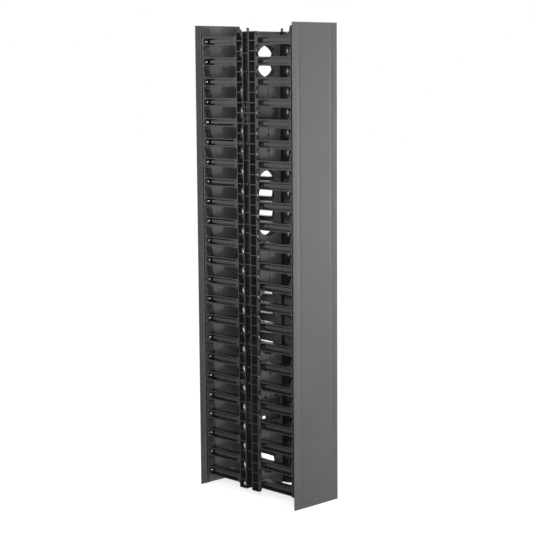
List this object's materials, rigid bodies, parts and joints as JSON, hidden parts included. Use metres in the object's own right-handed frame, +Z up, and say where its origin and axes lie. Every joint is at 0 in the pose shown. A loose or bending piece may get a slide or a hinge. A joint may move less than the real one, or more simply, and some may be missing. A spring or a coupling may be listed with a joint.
{
  "type": "vertical cable manager",
  "caption": "Tall open frame with finger-walled cable channels in front and behind a steel backbone, each closed by a hinged cover.",
  "frame": {"origin": "centre of the footprint at the covers' lower edges", "axes": "+Z up, the front cover faces -Y, +X to the right seen from the front"},
  "size_m": [0.135, 0.308, 1.0499],
  "materials": {
    "moulded_plastic": "black moulded plastic with a light sheen",
    "powder_coat": "dark grey fine-texture powder coat",
    "zinc_plate": "zinc-plated steel",
    "rod_steel": "black oxide steel"
  },
  "bodies": {
    "frame": {"left_spine": "moulded_plastic", "right_spine": "moulded_plastic", "left_front_fingers": "moulded_plastic", "left_rear_fingers": "moulded_plastic", "right_front_fingers": "moulded_plastic", "right_rear_fingers": "moulded_plastic", "left_channel": "powder_coat", "right_channel": "powder_coat", "upper_bracket": "powder_coat", "lower_bracket": "powder_coat", "bracket_screws": "zinc_plate", "left_spine_screws": "zinc_plate", "right_spine_screws": "zinc_plate", "left_front_rod": "rod_steel", "right_front_rod": "rod_steel", "left_rear_rod": "rod_steel", "right_rear_rod": "rod_steel", "front_rod_holders": "moulded_plastic", "rear_rod_holders": "moulded_plastic"},
    "front_cover": {"front_panel": "powder_coat", "front_left_hinge_channel": "powder_coat", "front_right_hinge_channel": "powder_coat", "front_clips": "moulded_plastic"},
    "rear_cover": {"rear_panel": "powder_coat", "rear_left_hinge_channel": "powder_coat", "rear_right_hinge_channel": "powder_coat", "rear_clips": "moulded_plastic"}
  },
  "joints": [
    {"name": "front_cover_hinge", "type": "hinge", "parent": "frame", "child": "front_cover", "pos_m": [-0.0529, -0.145, 0.52495], "axis": [0, 0, -1], "range_deg": [0, 90]},
    {"name": "rear_cover_hinge", "type": "hinge", "parent": "frame", "child": "rear_cover", "pos_m": [0.0529, 0.145, 0.52495], "axis": [0, 0, -1], "range_deg": [0, 90]}
  ]
}
